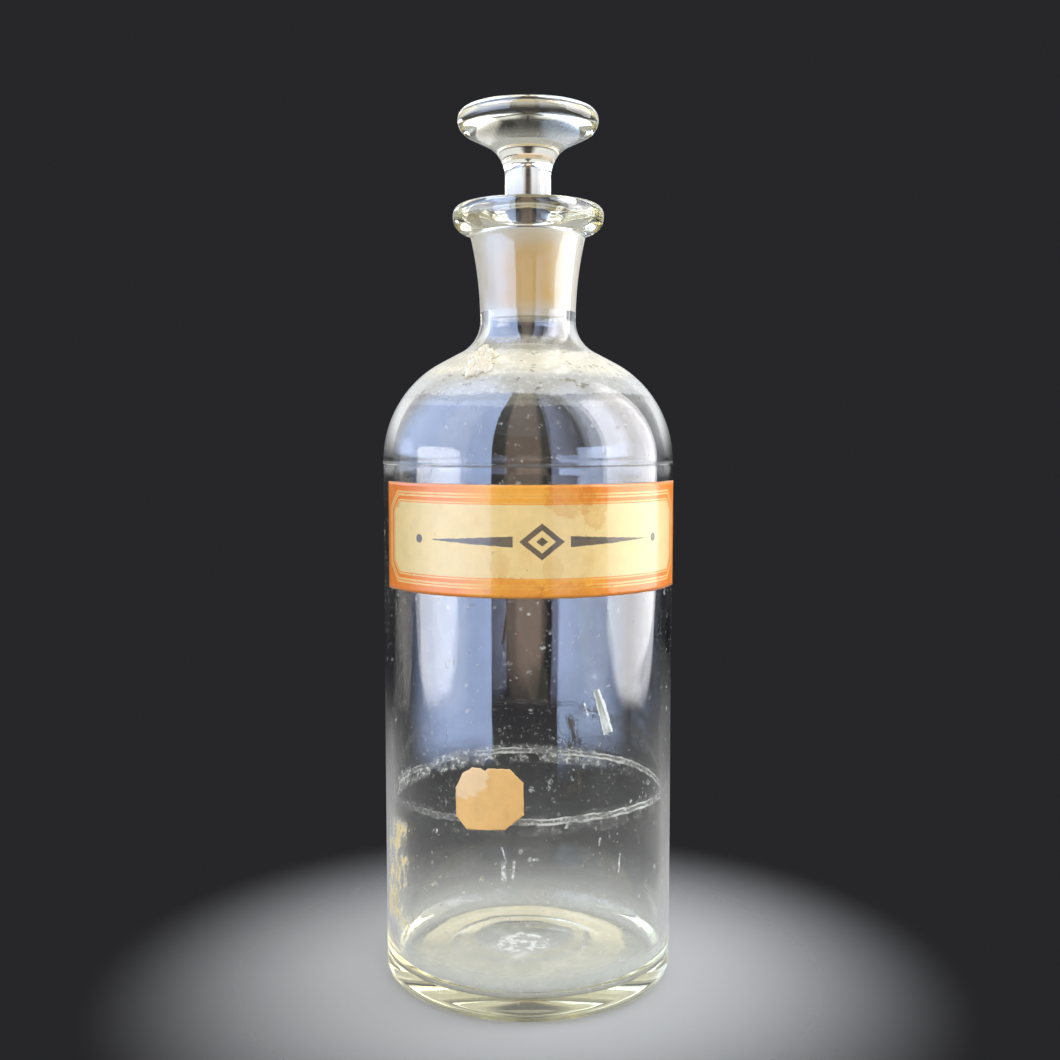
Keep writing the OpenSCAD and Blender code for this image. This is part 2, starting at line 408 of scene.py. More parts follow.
# paper fibres: a height for bump, and the colour lightened and darkened a little
def makePaperGrain():
    outputs = [("Height", number), ("Color", colour)]
    tree, given, result = startGroup("paperGrain", [("Color", colour, (1, 1, 1, 1))], outputs)
    spot = objectPlace()
    look = {"Vector": spot, "Scale": 1900.0, "Detail": 6.0, "Roughness": 0.7, "Distortion": 1.2}
    fibre = addNode("TexNoise", look).outputs[0]
    cloud = addNode("TexNoise", {"Vector": spot, "Scale": 260.0, "Detail": 4.0}).outputs[0]
    shade = scaled(fibre, 0.16, scaled(cloud, 0.22, 0.81))
    grey = addNode("CombineColor", {0: shade, 1: shade, 2: shade}).outputs[0]
    fillInputs(result, {"Height": fibre, "Color": mixColor(1.0, given["Color"], grey, "MULTIPLY")})
    return tree


# a drift that makes straight edges ragged, about a quarter of Reach either way
def makeWander():
    inputs = [("Scale", number, 100.0), ("Reach", number, 1.0)]
    tree, given, result = startGroup("wander", inputs, [("Shift", number)])
    look = {"Vector": objectPlace(), "Scale": given["Scale"], "Detail": 6.0, "Roughness": 0.62}
    cloud = addNode("TexNoise", look).outputs[0]
    fillInputs(result, {"Shift": product(minus(cloud, 0.5), given["Reach"])})
    return tree


wallPlace, patches, specks = makeWallPlace(), makePatches(), makeSpecks()
paperGrain, wander = makePaperGrain(), makeWander()
print("shared effects ready")


# how many patches to a metre, the share they cover, how soft their edges are, their seed and their stretch
def patchMask(scale, cover, soft, seed, tall=1.0):
    return useGroup(patches, Scale=scale, Cover=cover, Soft=soft, Seed=seed, Tall=tall)["Mask"]


# how many specks to a metre, how wide they are, the share that shows and their stretch
def speckMask(scale, wide, share, tall=1.0):
    return useGroup(specks, Scale=scale, Size=wide, Share=share, Tall=tall)["Mask"]


# a measure pushed to and fro, so that an edge drawn from it is ragged
def ragged(value, scale, reach):
    return plus(value, useGroup(wander, Scale=scale, Reach=reach)["Shift"])


def bumpOf(height, strength, distance):
    return addNode("Bump", {"Height": height, "Strength": strength, "Distance": distance}).outputs[0]


clearLook = {
    "color": (0.99, 0.99, 0.985, 1), "rough": 0.0, "clear": 1.0, "bend": 1.51,
    "ripple": 0.06, "rippleScale": 42.0, "rippleDeep": 0.0006,
    "shadow": (0.94, 0.94, 0.925, 1), "tint": (0.82, 0.785, 0.49, 1), "density": 20.0,
}
stopperLook = dict(clearLook, ripple=0.04, density=15.0)
groundLook = dict(
    clearLook, rough=0.3, rougher=0.44, clear=0.45, ripple=0.0, color=(0.93, 0.915, 0.90, 1),
    amber=(0.96, 0.55, 0.05, 1), stainLow=(203.0, 212.0), stainHigh=(222.0, 237.0),
    stainAt=0.5, stainWide=7.0,
)


# clear glass: light reaches what is behind it, and its thickness tints it faintly
def makeGlass(name, look):
    material, shader = startMaterial(name)
    wave = {"Vector": objectPlace(), "Scale": look["rippleScale"], "Detail": 2.0}
    ripple = bumpOf(addNode("TexNoise", wave).outputs[0], look["ripple"], look["rippleDeep"])
    fillInputs(shader, {"Base Color": look["color"], "Roughness": look["rough"], "IOR": look["bend"],
                        "Transmission Weight": look["clear"], "Normal": ripple})
    through = addNode("BsdfTransparent", {"Color": look["shadow"]}).outputs[0]
    rays = addNode("LightPath").outputs
    nodes = material.node_tree.nodes
    surface = nodes["Principled BSDF"].outputs[0]
    for kind in ("Is Shadow Ray", "Is Diffuse Ray"):
        surface = addNode("MixShader", {0: rays[kind], 1: surface, 2: through}).outputs[0]
    tint = addNode("VolumeAbsorption", {"Color": look["tint"], "Density": look["density"]}).outputs[0]
    fillInputs(nodes["Material Output"].inputs, {"Surface": surface, "Volume": tint})
    return material, shader


# ground glass: rough, with an amber stain where liquid crept into the joint
def makeGroundGlass(name, look):
    material, shader = makeGlass(name, look)
    place = useGroup(wallPlace, Radius=size["neckIn"])
    height = place["Height"]
    rise = ease(ragged(height, 90.0, 8.0), *look["stainLow"])
    fall = invert(ease(ragged(height, 70.0, 9.0), *look["stainHigh"]))
    crept = fromTo(0.7, 1.0, patchMask(130.0, 0.7, 0.45, 4.0))
    front = bandMask(ragged(place["Around"], 110.0, 8.0), look["stainAt"], look["stainWide"], 3.5)
    stain = product(rise, fall, crept, fromTo(0.25, 1.0, front))
    scour = patchMask(420.0, 0.6, 0.4, 9.0, 4.0)
    fillInputs(shader, {"Base Color": mixColor(stain, look["color"], look["amber"]),
                        "Roughness": fromTo(look["rough"], look["rougher"], scour)})
    return material


groundGlass = makeGroundGlass("groundGlass", groundLook)
bottle = turnMesh("bottleGlass", bottleStretches(), bottleShape["segments"], "socket")
bottleGlass, _ = makeGlass("bottleGlass", clearLook)
settle(bottle, [bottleGlass, groundGlass], "bottle", "bottle")
stopper = turnMesh("stopperGlass", stopperStretches(), stopperShape["segments"], "ground")
stopperGlass, _ = makeGlass("stopperGlass", stopperLook)
settle(stopper, [stopperGlass, groundGlass], "stopper", "stopper")
print("glass turned:", len(bottle.data.polygons), "and", len(stopper.data.polygons), "faces")


# paper pasted on the wall: a flat sheet cut to its corners, then bent round
def makePaper(name, look, corners, lift=None):
    bm = bmesh.new()
    wide, tall = look["wide"], look["tall"]
    across, up = round(wide / look["step"]), round(tall / look["step"])
    grid = [[bm.verts.new((wide * (i / across - 0.5), tall * (j / up - 0.5), 0)) for j in range(up + 1)]
            for i in range(across + 1)]
    for i in range(across):
        for j in range(up):
            bm.faces.new((grid[i][j], grid[i + 1][j], grid[i + 1][j + 1], grid[i][j + 1]))
    for (ax, ay), (bx, by) in zip(corners, corners[1:] + corners[:1]):
        bmesh.ops.bisect_plane(bm, geom=bm.verts[:] + bm.edges[:] + bm.faces[:], plane_co=(ax, ay, 0),
                               plane_no=(by - ay, ax - bx, 0), clear_outer=True, dist=1e-5)
    rimEdges = [e for e in bm.edges if e.is_boundary]
    rim = {v for e in rimEdges for v in e.verts}
    notchU, notchDeep = look.get("notch", (0.0, 0.0))
    for v in bm.verts:
        u, h = v.co.x, v.co.y
        if v in rim:
            u += noise.noise(Vector((u * 0.9, h * 0.9, look["seed"]))) * look["ragged"]
            h += noise.noise(Vector((h * 0.9, u * 0.9, look["seed"] + 5))) * look["ragged"]
        if abs(u - notchU) < 1.0 and h > tall / 2 - 1.2:
            h -= notchDeep * (1 - abs(u - notchU))
        out = look["out"] + (lift(u, h) if lift else 0.0)
        turn = math.radians(look["turn"]) + u / bottleShape["radius"]
        v.co = onTurn(bottleShape["radius"] + out, turn, look["height"] + h)
    # a second skin underneath, and a narrow edge between the two
    for face in bm.faces:
        face.smooth = True
    skin = bmesh.ops.duplicate(bm, geom=bm.faces[:])
    below = skin["vert_map"]
    for part in skin["geom"]:
        if isinstance(part, bmesh.types.BMFace):
            part.normal_flip()
            part.material_index = 1
        if isinstance(part, bmesh.types.BMVert):
            part.co -= Vector((part.co.x, part.co.y, 0)).normalized() * look["thick"] * mm
    for edge in rimEdges:
        a, b = edge.verts
        bm.faces.new((a, b, below[b], below[a])).material_index = 1
    return finishMesh(name, bm)


# millimetres across and up from the middle of a pasted sheet, and a small shake for its marks
def sheetPlace(look):
    place = useGroup(wallPlace)
    u = minus(place["Around"], math.radians(look["turn"]) * bottleShape["radius"])
    v = minus(place["Height"], look["height"])
    cloud = addNode("TexNoise", {"Vector": place["Flat"], "Scale": 0.45, "Detail": 5.0}).outputs[0]
    return u, v, minus(cloud, 0.5)


paperDuller, fibreDeep = 0.18, 0.00025


# what every paper has: grain over the colour, a roughness that varies, and fibres that catch the light
def layPaper(shader, tone, dull, look, relief=0.0):
    grain = useGroup(paperGrain, Color=tone)
    fillInputs(shader, {"Base Color": grain["Color"],
                        "Roughness": fromTo(look["rough"], look["rough"] + paperDuller, dull),
                        "Normal": bumpOf(plus(grain["Height"], relief), look["bump"], fibreDeep)})


# the printed label: bands of border, an inked rule, water stains, a painted reflection and varnish
labelLook = {
    "wide": 114.7, "tall": 32.0, "step": 1.0, "turn": 5.0, "height": 140.1, "thick": 0.12, "out": 0.17,
    "ragged": 0.14, "seed": 2.0, "rough": 0.36, "bump": 0.12, "coat": 0.42, "corner": 6.4,
    "coatRough": 0.07, "goldenMiddleOfPaintedReflection": -2.0,
    "orange": (0.90, 0.25, 0.02, 1), "golden": (0.93, 0.44, 0.05, 1), "cream": (0.88, 0.68, 0.31, 1),
    "pale": (0.92, 0.63, 0.24, 1), "ink": (0.032, 0.027, 0.032, 1), "soak": (0.78, 0.48, 0.12, 1),
    "brown": (0.36, 0.15, 0.02, 1), "grime": (0.26, 0.20, 0.11, 1), "mottle": (0.92, 0.80, 0.58, 1),
    "bands": [(0.0, "orange"), (2.5, "pale"), (3.0, "orange"), (3.35, "pale"), (3.85, "orange"),
              (4.95, "pale"), (5.35, "orange"), (5.65, "cream")], "bandSpan": 8.0,
    "lozenge": (6.4, 5.2), "strokeFrom": 8.2, "strokeLong": 27.0, "strokeWide": 1.55,
    "dotAt": 38.6, "dotWide": 1.25,
    # each stain's middle, its reach across and up, and its strength
    "stains": [((8.0, 13.5), (7.5, 7.5), 0.95), ((15.5, 11.5), (4.5, 9.0), 0.85),
               ((-8.0, -15.5), (9.0, 6.0), 0.8), ((9.0, -16.5), (13.0, 5.0), 1.0),
               ((-12.0, -7.0), (3.2, 5.0), 0.35), ((3.0, -8.0), (3.2, 4.5), 0.45),
               ((-44.0, 15.5), (9.0, 3.0), 0.6), ((40.0, -15.0), (15.0, 5.0), 0.4)],
}


# the generic rule on the label: a lozenge between two tapering strokes, with a dot at each end
def ruleMask(look, u, v, shake):
    awayU, awayV = calc("ABSOLUTE", u), calc("ABSOLUTE", v)
    wobble = product(shake, 0.5)
    wide, tall = look["lozenge"]
    lozenge = plus(calc("DIVIDE", awayU, wide), calc("DIVIDE", awayV, tall))
    lozenge = scaled(wobble, 0.12, lozenge)
    outline = product(calc("LESS_THAN", lozenge, 1.0), calc("GREATER_THAN", lozenge, 0.62))
    heart = calc("LESS_THAN", lozenge, 0.26)
    along = calc("DIVIDE", minus(awayU, look["strokeFrom"]), look["strokeLong"])
    swell = product(invert(along), look["strokeWide"])
    stroke = calc("LESS_THAN", plus(awayV, wobble), swell)
    stroke = product(stroke, calc("GREATER_THAN", awayU, look["strokeFrom"]))
    fromDot = lengthOf(minus(awayU, look["dotAt"]), awayV)
    dot = calc("LESS_THAN", plus(fromDot, wobble), look["dotWide"])
    return largest(outline, heart, stroke, dot)


# water stains: soft blots that darken the print, each with a darker tide line
def stainMask(stain, u, v, shake, blot):
    (stainU, stainV), (reachU, reachV), share = stain
    besideU = calc("DIVIDE", minus(u, stainU), reachU)
    besideV = calc("DIVIDE", minus(v, stainV), reachV)
    away = scaled(shake, 1.1, lengthOf(besideU, besideV))
    soaked = product(invert(ease(away, 0.3, 1.1)), fromTo(0.45, 0.9, blot))
    line = product(bandMask(away, 0.82, 0.1, 0.1), 0.3)
    return product(plus(soaked, line), share)


def makeLabelPaper(look):
    material, shader = startMaterial("labelPrint")
    u, v, shake = sheetPlace(look)
    fromSide = minus(look["wide"] / 2, calc("ABSOLUTE", u))
    fromTop = minus(look["tall"] / 2, calc("ABSOLUTE", v))
    fromEdge = calc("MINIMUM", fromSide, fromTop)
    beyondCorner = minus(plus(fromSide, fromTop), look["corner"])
    inset = calc("MINIMUM", fromEdge, product(beyondCorner, math.sqrt(0.5)))
    inset = scaled(shake, 0.34, inset)
    ramp = addNode("ValToRGB", {0: calc("DIVIDE", inset, look["bandSpan"])})
    ramp.color_ramp.interpolation = "CONSTANT"
    stops = ramp.color_ramp.elements
    for i, (edge, tone) in enumerate(look["bands"]):
        stop = stops[i] if i < len(stops) else stops.new(edge / look["bandSpan"])
        stop.position = edge / look["bandSpan"]
        stop.color = look[tone]
    fade = product(patchMask(90.0, 0.5, 0.5, 1.0), 0.3)
    # painted reflection: the label is painted golden in its middle and left paler at both sides, as if
    # whitened by the windows
    goldenMiddleOfPaintedReflection = product(bandMask(ragged(u, 60.0, 14.0), look["goldenMiddleOfPaintedReflection"], 19.0, 8.0), 0.85)
    printed = invert(ease(inset, 5.4, 5.7))
    goldenMiddleOfPaintedReflection = product(goldenMiddleOfPaintedReflection, fromTo(0.12, 1.0, printed))
    paper = mixColor(largest(fade, goldenMiddleOfPaintedReflection), ramp.outputs[0], look["golden"])
    mottled = patchMask(150.0, 0.5, 0.3, 21.0)
    paper = mixColor(product(mottled, 0.6), paper, look["mottle"], "MULTIPLY")
    brushed = fromTo(0.86, 1.0, patchMask(420.0, 0.6, 0.4, 6.0, 3.0))
    paper = mixColor(product(ruleMask(look, u, v, shake), brushed), paper, look["ink"])
    blot = patchMask(110.0, 0.62, 0.35, 2.6)
    for stain in look["stains"]:
        paper = mixColor(stainMask(stain, u, v, shake, blot), paper, look["soak"], "MULTIPLY")
    low = invert(ease(v, -15.0, -8.0))
    soil = product(patchMask(300.0, 0.46, 0.25, 12.0), low, ease(u, 2.0, 22.0))
    paper = mixColor(product(soil, 0.6), paper, look["grime"])
    paper = mixColor(product(speckMask(420.0, 0.3, 0.1), 0.5), paper, look["brown"])
    worn = invert(ease(ragged(fromEdge, 300.0, 0.8), 0.05, 0.55))
    paper = mixColor(product(worn, 0.6), paper, look["brown"])
    fillInputs(shader, {"Coat Weight": look["coat"], "Coat Roughness": look["coatRough"]})
    layPaper(shader, paper, patchMask(140.0, 0.5, 0.4, 3.0), look)
    return material


# the pasted side of all the papers
backLook = {
    "color": (0.68, 0.60, 0.45, 1), "second": (0.52, 0.41, 0.25, 1), "dirt": (0.24, 0.18, 0.11, 1),
    "rough": 0.72, "bump": 0.2,
}


def makePaperBack(look):
    material, shader = startMaterial("paperBack")
    cloud = patchMask(80.0, 0.5, 0.3, 8.0)
    tone = mixColor(product(cloud, 0.7), look["color"], look["second"])
    tone = mixColor(product(speckMask(520.0, 0.28, 0.12), 0.35), tone, look["dirt"])
    layPaper(shader, tone, cloud, look)
    return material


# the label's right end has come a little away from the wall
def labelLift(u, h):
    return 0.35 * max(0.0, (u - 52.0) / 5.4) ** 2 * (0.7 + 0.3 * noise.noise(Vector((h * 0.2, 0, 3))))


paperBack = makePaperBack(backLook)
label = makePaper("labelPaper", labelLook, [], labelLift)
settle(label, [makeLabelPaper(labelLook), paperBack], "bottle", "label")

# a small tag with cut corners, paler at its top left and creased upright, with painted shade along the
# creases
tagLook = {
    "wide": 20.6, "tall": 18.8, "step": 0.7, "turn": -14.3, "height": 66.3, "thick": 0.12, "out": 0.17,
    "ragged": 0.16, "seed": 4.0, "notch": (-1.3, 1.0), "rough": 0.5, "bump": 0.25,
    "color": (0.88, 0.53, 0.19, 1), "second": (0.92, 0.60, 0.26, 1), "dirt": (0.45, 0.26, 0.10, 1),
    "pale": (0.95, 0.71, 0.43, 1), "paleFrom": (-9.6, 9.2), "paleReach": 9.8,
    "creases": [(-3.7, -2.5, 4.2), (0.1, 4.6, 4.6), (5.2, -4.0, 3.0)],
    "corners": [(-6.7, -9.2), (4.6, -8.5), (10.1, -4.0), (9.9, 5.2), (6.0, 9.2),
                (-5.0, 9.0), (-8.0, 7.0), (-10.3, 2.5), (-10.2, -5.6)],
}


def makeTagPaper(look):
    material, shader = startMaterial("tagPaper")
    u, v, shake = sheetPlace(look)
    cloud = patchMask(70.0, 0.55, 0.3, look["seed"])
    tone = mixColor(product(cloud, 0.8), look["color"], look["second"])
    besideU = minus(u, look["paleFrom"][0])
    besideV = minus(v, look["paleFrom"][1])
    away = scaled(shake, 5.5, lengthOf(besideU, besideV))
    pale = invert(ease(away, look["paleReach"] - 0.8, look["paleReach"] + 0.8))
    tone = mixColor(product(pale, 0.75), tone, look["pale"])
    creaseShadeLines = 0.0
    aside = scaled(shake, 0.9, u)
    for creaseU, creaseV, reach in look["creases"]:
        line = product(bandMask(aside, creaseU, 0.7, 0.65), bandMask(v, creaseV, reach * 0.7, reach * 0.6))
        creaseShadeLines = largest(creaseShadeLines, line)
    # painted shade: the crease lines are darkened with the dirt colour
    tone = mixColor(product(creaseShadeLines, 0.12), tone, look["dirt"])
    tone = mixColor(product(speckMask(520.0, 0.28, 0.1), 0.35), tone, look["dirt"])
    layPaper(shader, tone, cloud, look, product(creaseShadeLines, -0.35))
    return material


tag = makePaper("tagPaper", tagLook, tagLook["corners"])
settle(tag, [makeTagPaper(tagLook), paperBack], "bottle", "tag")

# a torn strip of thin paper: greyish and see-through in the middle, white at its torn edges
scrapLook = {
    "wide": 8.0, "tall": 14.0, "step": 0.35, "turn": 28.0, "height": 90.95, "thick": 0.08, "out": 0.13,
    "ragged": 0.4, "seed": 6.0, "lean": 18.0, "rough": 0.6, "bump": 0.3,
    "color": (0.36, 0.40, 0.36, 1), "second": (0.93, 0.95, 0.94, 1), "dirt": (0.10, 0.10, 0.08, 1),
    "corners": [(0.6, -6.9), (3.8, -6.3), (1.3, 1.8), (-1.2, 6.7), (-2.8, 6.2)],
}


def makeScrapPaper(look):
    material, shader = startMaterial("scrapPaper")
    u, v, shake = sheetPlace(look)
    lean = math.radians(look["lean"])
    aside = scaled(u, math.cos(lean), product(v, math.sin(lean)))
    half = scaled(v, -0.06, 1.2)
    edge = ease(calc("DIVIDE", calc("ABSOLUTE", aside), half), 0.5, 0.85)
    fibres = patchMask(480.0, 0.62, 0.2, look["seed"], 0.3)
    tone = mixColor(largest(edge, product(fibres, 0.75)), look["color"], look["second"])
    tone = mixColor(product(speckMask(700.0, 0.3, 0.2), 0.5), tone, look["dirt"])
    layPaper(shader, tone, fibres, look, fibres)
    return material


scrap = makePaper("scrapPaper", scrapLook, scrapLook["corners"])
settle(scrap, [makeScrapPaper(scrapLook), paperBack], "bottle", "scrap")
print("paper cut and pasted")


# a thin film that follows a stretch of the glass at a small distance
def makeFilm(name, points, stretch, out):
    bm = bmesh.new()
    rings = []
    for i, (r, z) in enumerate(points):
        before, after = points[max(0, i - 1)], points[min(len(points) - 1, i + 1)]
        run = Vector((after[0] - before[0], after[1] - before[1])).normalized()
        sideways = out * run.y if r > 1e-6 else 0.0
        rings.append(makeRing(bm, r + sideways, z - out * run.x, bottleShape["segments"], stretch))
    for a, b in zip(rings, rings[1:]):
        bridgeRings(bm, a, b)
    return finishMesh(name, bm)


# a film's coverage says where it lies, and where its second and third colours show
def makeFilmMaterial(name, look, coverage):
    material, shader = startMaterial(name)
    cover, second, *third = coverage(look, *[product(axis, 1 / mm) for axis in axesOf(objectPlace())])
    paint = mixColor(second, look["color"], look["second"])
    for mask in third:
        paint = mixColor(mask, paint, look["third"])
    fillInputs(shader, {"Base Color": paint, "Roughness": look["rough"], "Specular IOR Level": look["gloss"],
                        "Alpha": cover})
    return material


def layFilm(name, look, points, coverage, node=None):
    film = makeFilm(name, points, look["side"], look["out"])
    settle(film, [makeFilmMaterial(name, look, coverage)], "bottle", node)


tideLook = {
    "color": (0.88, 0.89, 0.90, 1), "second": (0.93, 0.92, 0.88, 1), "rough": 0.7, "gloss": 0.2,
    "side": "inside", "out": -0.06, "height": 59.6, "tilt": 0.012, "from": 54.0, "to": 64.5, "steps": 21,
}


# two broken lines with a thin crust between them, tilted up to the right, and flakes just below
def tideCoverage(look, x, y, z):
    level = scaled(x, look["tilt"], look["height"])
    off = ragged(ragged(minus(z, level), 240.0, 1.5), 55.0, 1.4)
    upper = bandMask(off, 0.75, 0.24, 0.12)
    lower = bandMask(off, -0.65, 0.36, 0.16)
    broken = patchMask(130.0, 0.64, 0.16, 3.0)
    mottled = patchMask(620.0, 0.5, 0.14, 5.0)
    strong = fromTo(0.5, 1.0, ease(x, -36.0, 12.0))
    lines = product(largest(upper, lower), fromTo(0.25, 1.0, broken), strong)
    crust = product(bandMask(off, 0.0, 0.95, 0.2), fromTo(0.25, 0.85, mottled), strong)
    clumps = patchMask(105.0, 0.57, 0.05, 7.0)
    flakes = product(bandMask(off, -1.0, 2.9, 0.9), clumps, fromTo(0.2, 0.95, mottled))
    behind = ease(scaled(x, -0.6, y), 2.0, 26.0)
    flakes = product(flakes, fromTo(0.3, 1.0, behind))
    return largest(lines, crust, flakes), patchMask(500.0, 0.5, 0.4, 2.0)


inR = bottleShape["radius"] - bottleShape["wall"]
tidePoints = linePoints((inR, tideLook["from"]), (inR, tideLook["to"]), tideLook["steps"])
layFilm("tideDeposit", tideLook, tidePoints, tideCoverage, "tide_ring")

floorLook = {
    "color": (0.74, 0.77, 0.77, 1), "second": (0.98, 0.92, 0.70, 1), "third": (0.93, 0.95, 0.97, 1),
    "rough": 0.6, "gloss": 0.2, "side": "inside", "out": -0.05, "top": 26.0,
    "middle": (-1.5, 1.5), "outer": 27.5, "inner": 17.0, "crust": 9.5, "crustFront": 6.0,
}


# dried residue: cream rings towards the back, grey haze in front, a white crust, and a veil up the wall
def floorCoverage(look, x, y, z):
    besideX = minus(x, look["middle"][0])
    besideY = minus(y, look["middle"][1])
    away = ragged(ragged(lengthOf(besideX, besideY), 26.0, 13.0), 170.0, 3.2)
    patchy = patchMask(120.0, 0.6, 0.35, 6.0)
    back = ease(ragged(y, 45.0, 40.0), -20.0, 14.0)
    outer = bandMask(away, look["outer"], 6.6, 1.8)
    inner = bandMask(away, look["inner"], 2.8, 1.6)
    streaked = fromTo(0.8, 1.0, patchMask(210.0, 0.6, 0.3, 13.0))
    rings = product(largest(outer, product(inner, 0.9)), fromTo(0.4, 1.0, back), streaked)
    onFloor = invert(ease(z, 11.0, 18.0))
    haze = product(fromTo(0.84, 0.38, back), fromTo(0.75, 1.15, patchy), onFloor)
    grains = patchMask(300.0, 0.58, 0.16, 2.0)
    crustY = plus(besideY, look["crustFront"])
    crustAway = ragged(lengthOf(besideX, crustY), 120.0, 6.0)
    crust = product(bandMask(crustAway, 0.0, look["crust"], 3.0), fromTo(0.55, 1.0, grains), onFloor)
    veil = product(invert(ease(z, 9.0, 24.0)), fromTo(0.10, 0.32, patchy))
    bits = product(speckMask(300.0, 0.3, 0.35), bandMask(z, 14.0, 4.5, 1.5), back)
    cover = largest(product(rings, 0.97), haze, product(crust, 0.95), veil, bits)
    return cover, largest(rings, bits), crust


glassPoints = bottleStretches()
lowInside = [point for point in glassPoints["inside"] if point[1] < floorLook["top"]]
floorPoints = glassPoints["floor"][::-1] + lowInside[::-1]
layFilm("floorDeposit", floorLook, floorPoints, floorCoverage, "floor_film")

scumLook = {
    # the third colour paints shade at the neck foot and dark rims round the pits
    "color": (0.82, 0.83, 0.83, 1), "second": (0.95, 0.90, 0.74, 1), "third": (0.17, 0.16, 0.13, 1),
    "rough": 0.06, "gloss": 0.5, "side": "outside", "out": 0.03,
    "from": 174.0, "edge": 181.0, "cream": 187.5, "top": 195.0, "foot": 197.4,
}


# residue on the shoulder: cream near the neck, grey and pitted below, with a ragged lower edge, dark rims
# round the pits and painted shade at the neck foot
def scumCoverage(look, x, y, z):
    level = ragged(ragged(z, 60.0, 4.5), 420.0, 1.2)
    above = ease(level, look["edge"], look["edge"] + 1.0)
    below = invert(ease(ragged(z, 150.0, 2.4), look["top"] - 1.2, look["top"] + 1.2))
    cream = ease(ragged(z, 90.0, 5.0), look["cream"] - 2.0, look["cream"] + 2.0)
    patchy = patchMask(170.0, 0.6, 0.4, 2.0, 2.0)
    grains = patchMask(640.0, 0.52, 0.2, 15.0)
    pits = patchMask(230.0, 0.34, 0.06, 11.0, 1.8)
    streaks = patchMask(45.0, 0.55, 0.3, 4.0, 9.0)
    grey = product(fromTo(0.48, 0.72, patchy), fromTo(0.75, 1.2, grains))
    grey = product(grey, fromTo(1.0, 0.25, pits))
    thick = plus(grey, product(cream, fromTo(0.3, 0.6, streaks)))
    rim = product(bandMask(level, look["edge"] + 1.0, 0.8, 0.6), fromTo(0.2, 1.0, grains))
    rim = product(rim, patchMask(75.0, 0.5, 0.3, 23.0))
    hairs = product(speckMask(210.0, 0.2, 0.45, 0.4), bandMask(z, 178.6, 4.4, 2.0), 0.7)
    # painted shade: a dark band round the neck foot, drawn in the third colour
    foot = bandMask(ragged(z, 200.0, 3.0), look["foot"], 1.8, 1.0)
    foot = product(foot, fromTo(0.25, 0.75, grains))
    outline = product(bandMask(pits, 0.5, 0.35, 0.15), 0.6)
    neckFootShadeAndPitRims = largest(foot, product(outline, above, below))
    return largest(product(above, below, thick), rim, hairs, foot), cream, neckFootShadeAndPitRims


scumPoints = [point for point in shoulderPoints(0, 0) if point[1] > scumLook["from"]]
layFilm("shoulderDust", scumLook, scumPoints, scumCoverage)

grimeLook = {
    "color": (0.93, 0.94, 0.93, 1), "second": (0.90, 0.75, 0.40, 1), "rough": 0.7, "gloss": 0.2,
    "side": "outside", "out": 0.03, "from": 1.5, "to": 178.5, "seam": 161.4,
    # dried drips and scratches: round from the front, height, half width, half length and lean
    "marks": [(-6.8, 50.4, 0.22, 2.4, -0.3), (-7.0, 45.6, 0.7, 2.7, 0.0), (-4.2, 46.2, 0.4, 2.8, 0.1),
              (2.2, 49.3, 0.9, 0.35, 0.0), (11.4, 59.0, 0.6, 1.0, 0.3), (-28.5, 55.0, 0.4, 0.6, 0.0),
              (28.5, 45.5, 0.25, 2.8, 0.1), (21.5, 53.0, 0.3, 1.2, 0.2), (17.0, 92.0, 0.3, 2.0, -0.3)],
    # an amber run down the left side: its middle, half width and half length
    "amber": (-49.0, 38.0, 7.5, 16.0),
}


# white specks, upright scratches, dried drips, a thin haze on the wall and an amber run
def grimeCoverage(look, x, y, z):
    place = useGroup(wallPlace)
    around, height = place["Around"], place["Height"]
    low = invert(ease(z, 40.0, 120.0))
    cluster = patchMask(38.0, 0.5, 0.3, 5.0)
    small = speckMask(340.0, 0.22, 0.6)
    dust = product(speckMask(800.0, 0.32, 0.55), 0.6)
    scratch = speckMask(170.0, 0.1, 0.42, 0.16)
    dots = product(largest(small, scratch, dust), fromTo(0.4, 1.0, cluster))
    dots = largest(dots, product(speckMask(150.0, 0.07, 0.3), 0.9))
    haze = patchMask(55.0, 0.6, 0.6, 8.0, 0.4)
    runs = patchMask(130.0, 0.42, 0.3, 14.0, 0.08)
    high = ease(z, 150.0, 168.0)
    veil = product(largest(haze, runs), largest(fromTo(0.05, 0.07, low), product(high, 0.16)))
    broken = fromTo(0.3, 1.0, patchMask(700.0, 0.6, 0.15, 17.0))
    seam = product(bandMask(height, look["seam"], 0.5, 0.35), fromTo(0.05, 0.4, haze))
    heel = product(invert(ease(z, 4.0, 13.0)), fromTo(0.16, 0.42, haze))
    cover = largest(dots, veil, seam, heel)
    for markU, markV, half, reach, lean in look["marks"]:
        up = minus(height, markV)
        aside = ragged(scaled(up, -lean, around), 500.0, half)
        mark = product(bandMask(aside, markU, half, half * 0.4), bandMask(up, 0.0, reach, reach * 0.3))
        cover = largest(cover, product(mark, broken))
    amberU, amberV, half, reach = look["amber"]
    amber = product(bandMask(ragged(around, 110.0, 12.0), amberU, half, 1.2),
                    bandMask(ragged(height, 90.0, 16.0), amberV, reach, 4.0))
    amber = product(amber, fromTo(0.12, 1.0, patchMask(160.0, 0.55, 0.08, 19.0, 0.5)))
    return largest(cover, amber), amber


grimePoints = [point for point in glassPoints["outside"] if grimeLook["from"] < point[1] < grimeLook["to"]]
layFilm("wallGrime", grimeLook, grimePoints, grimeCoverage)
print("deposits laid")

